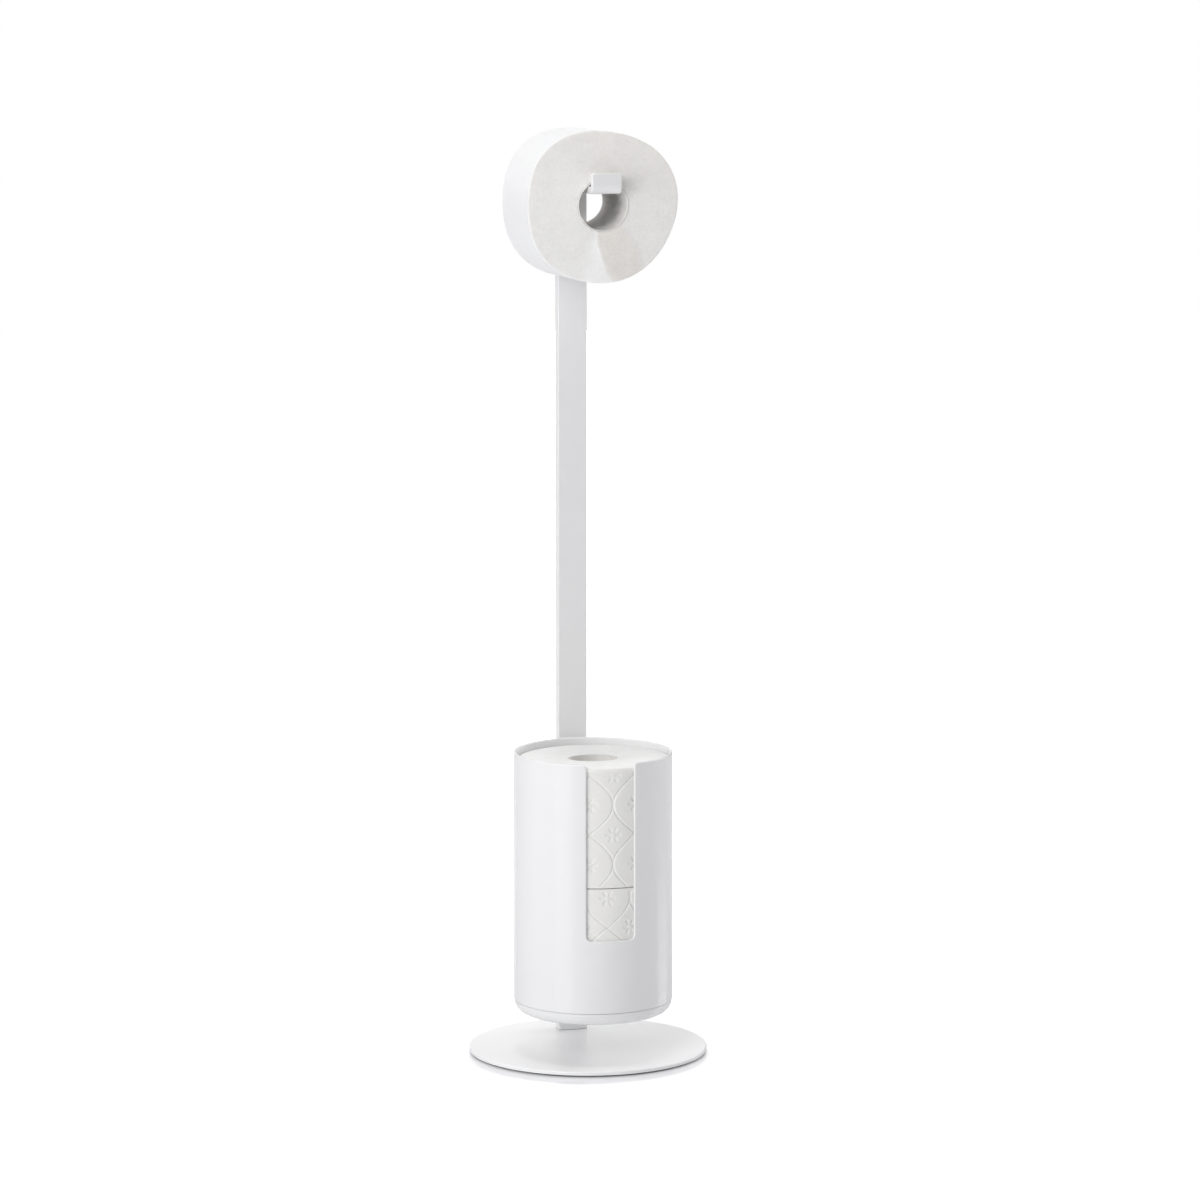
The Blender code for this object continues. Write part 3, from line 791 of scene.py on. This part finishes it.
def build_pan():
    """The pan under the tube, with its large rounded edge and the spigot that goes into the tube."""
    low, high, centre, radius = round_extent("canister_pan")
    shell_low, _, _, shell_radius = round_extent("canister_shell")
    inner = shell_radius - CAN_WALL - SPIGOT_GAP
    shoulder = shell_low[2] - PAN_SEAM_GAP
    corners = [(0, low[2], 0), (radius, low[2], PAN_ROUND), (radius, shoulder, CAN_SEAM_ROUND),
               (inner, shoulder, 0), (inner, high[2], SPIGOT_ROUND),
               (inner - PAN_WALL, high[2], SPIGOT_ROUND),
               (inner - PAN_WALL, low[2] + PAN_WALL, PAN_ROUND - PAN_WALL), (0, low[2] + PAN_WALL, 0)]
    pan = lathe("canister_base_pan", rounded_path(corners), centre, COAT)
    finish_piece(pan, "root", "white_coat", "canister_pan")


def build_arm():
    """The bar with its bent lip: its side view is drawn across the width with rounded edges. The
    tenon that goes down into the post is joined on."""
    low, high = extent("arm")
    post_low, post_high = extent("post")
    front, post_front, post_back = low[1], post_low[1], post_high[1]
    width = high[0] - low[0]
    underside = post_high[2] + POST_TOP_GAP
    topside = underside + ARM_THICK
    mitre = post_front - ARM_THICK * math.tan(ARM_RISE / 2)
    rise = math.tan(ARM_RISE)
    corners = [(post_back, underside, ARM_EDGE_ROUND), (post_front, underside, 0),
               (front, underside + (post_front - front) * rise, ARM_BEND_INNER + ARM_THICK),
               (front, high[2], ARM_EDGE_ROUND), (front + ARM_THICK, high[2], ARM_EDGE_ROUND),
               (front + ARM_THICK, topside + (mitre - front - ARM_THICK) * rise, ARM_BEND_INNER),
               (mitre, topside, 0), (post_back, topside, ARM_EDGE_ROUND)]
    outline = rounded_path(corners, closed=True)
    piece = bar_from_outline("hook_arm", outline, width, high[2])
    inner_width, inner_depth = width - 2 * POST_WALL, POST_DEPTH - 2 * POST_WALL
    tenon_front = post_front + POST_WALL
    tenon = box_piece("tenon", (-inner_width / 2, tenon_front, low[2]),
                      (inner_width / 2, tenon_front + inner_depth, underside + ARM_THICK / 2))
    carve(piece, tenon, "UNION")
    for node in ("arm_screw_lower", "arm_screw_upper"):
        start = (0, post_back + CUT_REACH / 2, middle(node)[2])
        bore(piece, ARM_SCREW_HOLE, ARM_SCREW_CUT, start, (0, -1, 0))
    finish_piece(piece, "root", "white_coat", "arm")


def box_piece(name, low, high):
    """A box between two corners."""
    data = bmesh.new()
    bmesh.ops.create_cube(data, size=1)
    for vert in data.verts:
        vert.co = Vector([(l if c < 0 else h) for c, l, h in zip(vert.co, low, high)])
    return added(name, mesh_from(name, data))


def bar_from_outline(name, outline, width, lip_top):
    """A flat bar from its side view, with rounded long edges and rounded corners at the lip."""
    step = np.roll(outline, -1, axis=0) - np.roll(outline, 1, axis=0)
    step /= np.linalg.norm(step, axis=1)[:, None]
    following = np.roll(outline, -1, axis=0)
    area = np.sum(outline[:, 0] * following[:, 1] - following[:, 0] * outline[:, 1])
    inward = np.stack([-step[:, 1], step[:, 0]], axis=-1) * np.sign(area)
    half = width / 2
    rows = []
    turns = np.radians(np.linspace(0, 90, ARC_STEPS + 1))
    sides = [(-half + ARM_EDGE_ROUND * (1 - math.sin(b)), ARM_EDGE_ROUND * (1 - math.cos(b)))
             for b in turns[::-1]]
    between = np.linspace(-half + ARM_EDGE_ROUND, half - ARM_EDGE_ROUND, ARM_ROWS)[1:-1]
    places = sides + [(x, 0) for x in between] + [(-x, inset) for x, inset in sides[::-1]]
    for x, inset in places:
        flat = outline + inward * inset
        over = abs(x) - (half - LIP_CORNER)
        height = flat[:, 1].copy()
        if over > 0:
            drop = LIP_CORNER - math.sqrt(max(LIP_CORNER ** 2 - over ** 2, 0))
            height = np.minimum(height, lip_top - drop)
        rows.append(np.stack([np.full(len(flat), x), flat[:, 0], height], axis=-1))
    return skin(name, np.array(rows), [COAT])


def smooth_noise(count, waves, seed):
    """A smooth random wave round a circle: shares between about -1 and 1. The usual peak of the
    plain sum is 1.2."""
    chance = np.random.default_rng(seed)
    turns = np.linspace(0, math.tau, count, endpoint=False)
    total = np.zeros(count)
    for wave in range(2, waves):
        total += chance.normal() / wave * np.cos(wave * turns + chance.uniform(0, math.tau))
    return total / 1.2


def emboss_rule():
    """The pattern pressed into the tissue: long curves that cross at points, with a small blossom
    in each cell. Points hold how far along the sheet and how high on the roll they lie."""
    rule = Rule("pressed tissue", {"Cell width": "Float", "Cell height": "Float", "Line width": "Float",
                                   "Petal length": "Float", "Petal width": "Float", "Petals": "Float",
                                   "Depth": "Float", "Seed": "Float"})
    wide, high, line = rule.given("Cell width"), rule.given("Cell height"), rule.given("Line width")
    petal = rule.given("Petal length")
    along = rule.stored("along") + rule.given("Seed") * SEED_SHIFT_ALONG
    height = rule.stored("height") + rule.given("Seed") * SEED_SHIFT_UP
    pressed = []
    sway = (height * math.pi / high).math("SINE") * wide * 0.5
    for side in (1, -1):
        gap = ((along - sway * side) / wide + 0.5).fraction() - 0.5
        pressed.append(rule.bell(gap * wide / line))
    for shift in (0, 0.5):
        x = ((along / wide + 0.5 + shift).fraction() - 0.5) * wide
        y = ((height / high + shift).fraction() - 0.5) * high
        far = (x * x + y * y).math("SQRT")
        turn = y.math("ARCTAN2", x)
        share = (turn * rule.given("Petals") / math.tau + 0.5).fraction() - 0.5
        across = share.size() * far * math.tau / rule.given("Petals")
        out = (far - petal * PETAL_MIDDLE) / (petal * (1 - PETAL_MIDDLE))
        pressed.append(rule.bell(across / rule.given("Petal width")) * rule.bell(out * out))
    total = pressed[0]
    for more in pressed[1:]:
        total = total.math("MAXIMUM", more)
    push = rule.scaled(rule.node("GeometryNodeInputNormal", {}, {}),
                       total * rule.stored("press") * rule.given("Depth") * -1)
    moved = rule.node("GeometryNodeSetPosition", {}, {"Geometry": rule.given("Geometry"), "Offset": push})
    rule.end(moved, (TISSUE_SIDE,), (TISSUE_END_PAINTED_LIGHTER, rule.stored("end")))
    return rule


def layers_rule():
    """The wound layers' cut edges: a thread that spirals outwards and lies on the roll's end, found
    by looking down on the roll along its axis. It sinks in and comes out at random."""
    rule = Rule("wound layers", {"Inner radius": "Float", "Outer radius": "Float", "Turns": "Float",
                                 "Thread radius": "Float", "Seed": "Float", "Centre": "Vector",
                                 "Right": "Vector", "Up": "Vector", "Axis": "Vector"})
    count = rule.given("Turns") * LAYER_SIDES
    thread = rule.node("GeometryNodeMeshLine", {}, {"Count": count})
    step = rule.node("GeometryNodeInputIndex", {}, {})
    angle = step * (math.tau / LAYER_SIDES)
    inner = rule.given("Inner radius")
    far = inner + (rule.given("Outer radius") - inner) * step / count
    uneven = rule.node("ShaderNodeTexNoise", {"noise_dimensions": "1D"},
                       {"W": step * 0.02 + rule.given("Seed"), "Scale": 1.0, "Detail": 2.0}) - 0.5
    far = far + uneven * LAYER_WANDER
    way = rule.given("Axis")
    above = rule.summed(rule.given("Centre"),
                        rule.scaled(rule.given("Right"), far * angle.math("COSINE")),
                        rule.scaled(rule.given("Up"), far * angle.math("SINE")),
                        rule.scaled(way, LAYER_LOOK))
    hit = rule.node("GeometryNodeRaycast", {},
                    {"Target Geometry": rule.given("Geometry"), "Source Position": above,
                     "Ray Direction": rule.scaled(way, -1.0), "Ray Length": 2 * LAYER_LOOK},
                    "Hit Position")
    sunk = rule.scaled(way, (uneven * 2 - 0.5) * rule.given("Thread radius"))
    placed = rule.node("GeometryNodeSetPosition", {}, {"Geometry": thread,
                                                       "Position": rule.summed(hit, sunk)})
    curve = rule.node("GeometryNodeMeshToCurve", {}, {0: placed})
    ring = rule.node("GeometryNodeCurvePrimitiveCircle", {}, {"Resolution": 4,
                                                              "Radius": rule.given("Thread radius")})
    tube = rule.node("GeometryNodeCurveToMesh", {}, {"Curve": curve, "Profile Curve": ring,
                                                     "Fill Caps": True})
    rule.end(tube, (TISSUE_END_PAINTED_LIGHTER,))
    return rule


def roll_outline(turns, outer, waves, tail):
    """The roll's radius at each turn: a few long waves, small bumps, and the step of the tail."""
    radius = np.ones(len(turns))
    for wave, (cosine, sine) in enumerate(waves, start=1):
        radius += cosine * np.cos(wave * turns) + sine * np.sin(wave * turns)
    bumps = np.interp(turns, np.linspace(0, math.tau, BUMP_POINTS),
                      smooth_noise(BUMP_POINTS, BUMP_WAVES, round(outer * 1e5)))
    wound = ((turns - tail) / math.tau) % 1
    return outer * radius + BUMP_HEIGHT * bumps + TAIL_STEP * (wound - 1)


def build_tissue(name, outer, turns, waves, tail, edges, ends, axes, warmth_and_shade, spread=level, **pattern):
    """A roll's tissue: rows from the bore out over the low end, up the side and back over the top
    end, then the pressed pattern and the wound layers. The low end's bore may be spread. Each row
    has a radius, a height, a distance along the surface, how far it is pressed and if it is an end."""
    inner = CORE_BORE + CORE_WALL + CORE_GAP
    bores = (inner + spread(turns), inner + level(turns))
    wave = roll_outline(turns, outer, waves, tail)
    circumference = math.tau * outer
    along = turns / math.tau * circumference

    def end_rows(top):
        edge = edges[top]
        rows = []
        for share in np.linspace(0, 1, END_ROWS):
            radius = bores[top] + (wave - edge - bores[top]) * share
            rows.append((radius, ends(radius, turns, top), inner + (outer - inner) * share))
        for a in np.radians(np.linspace(0, 90, ARC_STEPS + 1))[1:]:
            rise = edge * (1 - math.cos(a)) * (-1 if top else 1)
            rows.append((wave - edge + edge * math.sin(a), ends(wave - edge, turns, top) + rise,
                         outer + edge * a))
        past_end = END_ROWS + (ARC_STEPS - 1) // 2
        return [(*row, 0, float(i < past_end)) for i, row in enumerate(rows)]

    rows = end_rows(0)
    low_edge = rows[-1][1]
    high_edge = ends(wave - edges[1], turns, 1) - edges[1]
    for share in np.linspace(0, 1, SIDE_ROWS)[1:-1]:
        height = low_edge + (high_edge - low_edge) * share
        pressed = min(1, min(share, 1 - share) * EMBOSS_FADE)
        rows.append((wave, height, float(height.mean()), pressed, 0))
    rows += end_rows(1)[::-1]
    rows.append(((rows[0][0] + rows[-1][0]) / 2, (rows[0][1] + rows[-1][1]) / 2, inner, 0, 1))
    radii, heights, distance, press, end_mark = zip(*rows)
    columns = np.ones(len(turns))
    # The last numbers kept are a tint's share: warmth, and painted shade on the hanging roll's fold
    stored = {"along": along, "height": np.array(heights), "press": np.outer(press, columns),
              "end": np.outer(end_mark, columns),
              "warm_and_shaded": np.array([warmth_and_shade(radius, turns, on_end) for radius, on_end in zip(radii, end_mark)])}
    piece = skin(name, rings(axes, turns, zip(radii, heights)), [],
                 (np.append(along, circumference), distance), True, stored)
    cells = round(circumference / CELL_WIDTH)
    EMBOSS.bake(piece, {"Cell width": circumference / cells, "Cell height": CELL_HEIGHT,
                        "Line width": LINE_WIDTH, "Petal length": PETAL_LENGTH,
                        "Petal width": PETAL_WIDTH, "Petals": PETALS, **pattern})
    layers = []
    origin, right, up, axis = (np.array(vector) for vector in axes)
    for top in (0, 1):
        coil = added(f"{name}_layers_{top}", piece.data.copy())
        LAYERS.bake(coil, {"Inner radius": bores[top].max() + LAYER_INSET,
                           "Outer radius": wave.min() - edges[top],
                           "Turns": LAYER_TURNS, "Thread radius": LAYER_RADIUS,
                           "Seed": 3.0 * top + pattern["Seed"],
                           "Centre": origin + axis * ROLL_LENGTH * top, "Right": right, "Up": up,
                           "Axis": axis * (1 if top else -1)})
        layers.append(coil)
    return [piece] + layers


def card_tube(name, axes, seed, sunk=level, spread=level):
    """A core: a card tube whose wall waves a little at the ends. Its top may be sunk, and its low
    end spread."""
    turns = np.linspace(0, math.tau, CARD_SIDES, endpoint=False)
    outside = CORE_BORE + CORE_WALL
    corners = [(CORE_BORE, 0, CARD_EDGE_ROUND), (outside, 0, CARD_EDGE_ROUND),
               (outside, ROLL_LENGTH, CARD_EDGE_ROUND), (CORE_BORE, ROLL_LENGTH, CARD_EDGE_ROUND)]
    profile = rounded_path(corners, closed=True)
    uneven = smooth_noise(CARD_SIDES, CARD_WAVES, seed)
    rows = []
    for radius, height in profile:
        near_end = math.exp(-min(height, ROLL_LENGTH - height) / CARD_WAVE_REACH)
        out = radius + uneven * CARD_WAVE_HEIGHT * near_end + spread(turns) * (1 - height / ROLL_LENGTH)
        rows.append((out, height + sunk(turns) * height / ROLL_LENGTH))
    around = np.append(turns, math.tau) / math.tau
    return skin(name, rings(axes, turns, rows), [CARD], (around, profile[:, 1]), True)


def finish_roll(body, pieces, core):
    """A roll's paper, whose first piece stands for the solid, and its core ride on its body."""
    for piece in pieces:
        finish_piece(piece, body, "tissue", *([body + "_paper"] if piece is pieces[0] else []))
    finish_piece(core, body, "card_core", body + "_core")


def build_spare(name, seed, top_edge):
    """A spare roll in the canister, finest where the slot shows it. The upper one's top shows, and
    leans and sinks a little."""
    low, _, centre, outer = round_extent(name + "_paper")
    front = math.pi * 1.5
    slot_start, slot_end = front - SPARE_FINE_ANGLE, front + SPARE_FINE_ANGLE
    fine = np.linspace(slot_start, slot_end, SPARE_FINE_SIDES, endpoint=False)
    coarse = np.linspace(slot_end, slot_start + math.tau, SPARE_COARSE_SIDES, endpoint=False)
    turns = np.sort(np.concatenate([fine, coarse]) % math.tau)
    axes = ((centre[0], centre[1], low[2]), (1, 0, 0), (0, 1, 0), (0, 0, 1))
    shown = top_edge > JOINT_EDGE

    def sunk(turns):
        return -HOLE_DIP * (1 + HOLE_DIP_LEAN * np.sin(turns)) if shown else level(turns)

    def ends(radius, turns, top):
        share = (radius - CORE_BORE) / (outer - CORE_BORE)
        ripple = RIPPLE_HEIGHT * share * (1 + np.cos(3 * turns + seed + (0 if top else 1)))
        if not top:
            return JOINT_GAP + ripple
        lean = -TOP_LEAN * radius * np.sin(turns) if shown else 0
        return ROLL_LENGTH - JOINT_GAP + lean - ripple + sunk(turns) * (1 - share) ** 2

    def warmth_and_shade(radius, turns, on_end):
        return 1 - on_end + level(turns)

    pieces = build_tissue(name + "_tissue", outer + SPARE_PROUD, turns, SPARE_WAVES, SPARE_TAIL,
                          (JOINT_EDGE, top_edge), ends, axes, warmth_and_shade, Seed=float(seed),
                          Depth=EMBOSS_DEPTH)
    finish_roll(name, pieces, card_tube(name + "_card", axes, seed, sunk=sunk))


def fold_height(radius, turns):
    """How far the hanging roll's front stands out: it is a low cone, and a fold runs down from the
    core, rising steeply on its left and falling away slowly to the right."""
    far = np.clip((radius - CORE_BORE) / (HANGING_RADIUS - CORE_BORE), 0, 1)
    fold = across_fold(radius, turns, FOLD_HEIGHTS)
    ripple = sum(RIPPLE_HEIGHT * np.cos(waves * turns + shift) for waves, shift in FRONT_RIPPLES)
    return CONE_HEIGHT * (1 - far) + fold * far ** FOLD_EASE + ripple * far


def across_fold(radius, turns, values):
    """One of the fold's values at each turn of a ring. The fold's lines run slantwise, from their
    places at the core to those at the rim, and waver a little."""
    far = float(np.mean((radius - CORE_BORE) / (HANGING_RADIUS - CORE_BORE)))
    far = min(max(far, 0), 1)
    waver = sum(size * math.sin(far * waves + shift) for size, waves, shift in FOLD_WAVERS)
    places = np.array(FOLD_CORE_DEGREES) * (1 - far) + np.array(FOLD_RIM_DEGREES) * far
    return np.interp((np.degrees(turns) + waver + 180) % 360 - 180, places, values)


def back_spread(turns):
    """How far the hanging roll's core stands out at its back end: it is pressed wide there, with its
    bottom raised and its top as it was, on the arm."""
    return CORE_SPREAD * (np.cos(turns) ** 2 - np.minimum(np.sin(turns), 0) ** 2 / 2)


def build_hanging():
    """The roll in use on the arm, out of round, with a folded front face."""
    joint = next(j for j in frame["joints"] if j["name"] == "hanging_roll_spin")
    axis = -Vector(joint["axis"]).normalized()
    point = Vector(joint["pos_m"])
    centre = point + axis * ((middle("hanging_roll_core")[1] - point.y) / axis.y)
    origin = centre - axis * ROLL_LENGTH / 2
    up = axis.cross(Vector((1, 0, 0)))
    up = -up if up.z < 0 else up
    axes = (tuple(origin), (1, 0, 0), tuple(up), tuple(axis))
    turns = np.linspace(0, math.tau, HANGING_SIDES, endpoint=False)

    def ends(radius, turns, top):
        if not top:
            return JOINT_GAP + level(turns)
        return ROLL_LENGTH - CONE_HEIGHT - FRONT_INSET + fold_height(radius, turns)

    # The front's tint: warmth, and painted shade where the fold falls away from the light
    def warmth_and_shade(radius, turns, on_end):
        return across_fold(radius, turns, FOLD_WARMTH_AND_SHADE) * on_end

    pieces = build_tissue("hanging_roll_tissue", HANGING_RADIUS, turns, HANGING_WAVES, HANGING_TAIL,
                          (HANGING_EDGE, HANGING_EDGE), ends, axes, warmth_and_shade, back_spread, Seed=7.0,
                          Depth=EMBOSS_DEPTH * HANGING_PRESSED)
    finish_roll("hanging_roll", pieces, card_tube("hanging_roll_card", axes, 7, spread=back_spread))


def dress_solids():
    """Gives the solids that stay as they are their finishes."""
    finishes = {"post": COAT, "canister_floor": COAT, "nonslip_sheet": FOAM, "spacer": PLASTIC}
    for name, piece in frame["nodes"].items():
        matching = [finish for start, finish in finishes.items() if name.startswith(start)]
        if "screw" in name or "nut" in name or "plug" in name:
            matching = [ZINC]
        if matching:
            piece.data.materials.clear()
            piece.data.materials.append(matching[0])


def direction(azimuth, elevation):
    """The direction from the object to a place round it, in degrees from straight ahead of it."""
    azimuth, elevation = math.radians(azimuth), math.radians(elevation)
    return Vector((math.sin(azimuth) * math.cos(elevation), -math.cos(azimuth) * math.cos(elevation),
                   math.sin(elevation)))


def build_floor():
    """The white floor."""
    data = bmesh.new()
    bmesh.ops.create_circle(data, cap_ends=True, segments=FLOOR_SIDES, radius=FLOOR_RADIUS)
    floor = added("studio_floor", mesh_from("studio_floor", data))
    floor.data.materials.append(studio_white())
    floor.location.z = -FLOOR_DROP


def build_surroundings():
    """White surroundings, which light the object by less than the camera and gloss see of them."""
    world = bpy.data.worlds.new("studio")
    bpy.context.scene.world = world
    world.use_nodes = True
    sky = Nodes(world.node_tree)
    brightest = SKY_LEAN * direction(SKY_AZIMUTH, 0)
    leaning = sky.vector("DOT_PRODUCT", [sky.place("Generated"), brightest], "Value")
    seen = sky.ray("Is Camera Ray") + sky.ray("Is Glossy Ray") + sky.ray("Is Transmission Ray")
    background = sky.tree.nodes["Background"]
    background.inputs["Color"].default_value = (1, 1, 1, 1)
    sky.feed(background.inputs["Strength"], seen + (1 - seen) * SKY_SHARE * (leaning + 1))


def build_flags():
    """The dark cards, which the camera doesn't see."""
    grey = Finish("flag grey", FLAG_GREY, roughness=0.9).material
    for name, azimuth in FLAG_AZIMUTHS.items():
        away = FLAG_DISTANCE * direction(azimuth, 0)
        side = direction(azimuth + 90, 0) * FLAG_WIDTH / 2
        top = Vector((0, 0, FLAG_HEIGHT))
        mesh = bpy.data.meshes.new(name + "_flag")
        corners = [away - side, away + side, away + side + top, away - side + top]
        mesh.from_pydata(corners, [], [(0, 1, 2, 3)])
        mesh.materials.append(grey)
        flag = added(name + "_flag", mesh)
        flag.visible_camera = False


def build_lamps():
    """The soft square lamps, all aimed at the middle of the object."""
    for name, (azimuth, elevation, distance, side, share) in LAMPS.items():
        back = direction(azimuth, elevation)
        light = bpy.data.lights.new(name, "AREA")
        light.size = side
        light.energy = share * (math.pi * distance) ** 2
        stand = added(name + "_lamp", light)
        stand.location = CAMERA_TARGET + back * distance
        stand.rotation_euler = (-back).to_track_quat("-Z", "Y").to_euler()


def build_camera():
    """The camera, aimed a little past its target as the photo's framing has it."""
    back = direction(CAMERA_AZIMUTH, CAMERA_ELEVATION)
    right = direction(CAMERA_AZIMUTH + 90, 0)
    up = back.cross(right)
    data = bpy.data.cameras.new("camera")
    data.sensor_width = SENSOR_WIDTH
    data.lens = SENSOR_WIDTH * FOCAL_PIXELS / FRAME_PIXELS
    camera = added("camera", data)
    camera.location = CAMERA_TARGET + back * CAMERA_DISTANCE
    aim = CAMERA_TARGET + right * AIM_RIGHT + up * AIM_UP
    camera.rotation_euler = (aim - camera.location).to_track_quat("-Z", "Y").to_euler()
    bpy.context.scene.camera = camera


build_base()
build_shell()
build_pan()
build_arm()
EMBOSS = emboss_rule()
LAYERS = layers_rule()
build_spare("lower_roll", seed=3, top_edge=JOINT_EDGE)
build_spare("upper_roll", seed=5, top_edge=TOP_EDGE)
build_hanging()
dress_solids()
build_floor()
build_surroundings()
build_flags()
build_lamps()
build_camera()
bpy.context.scene.view_settings.view_transform = "Standard"
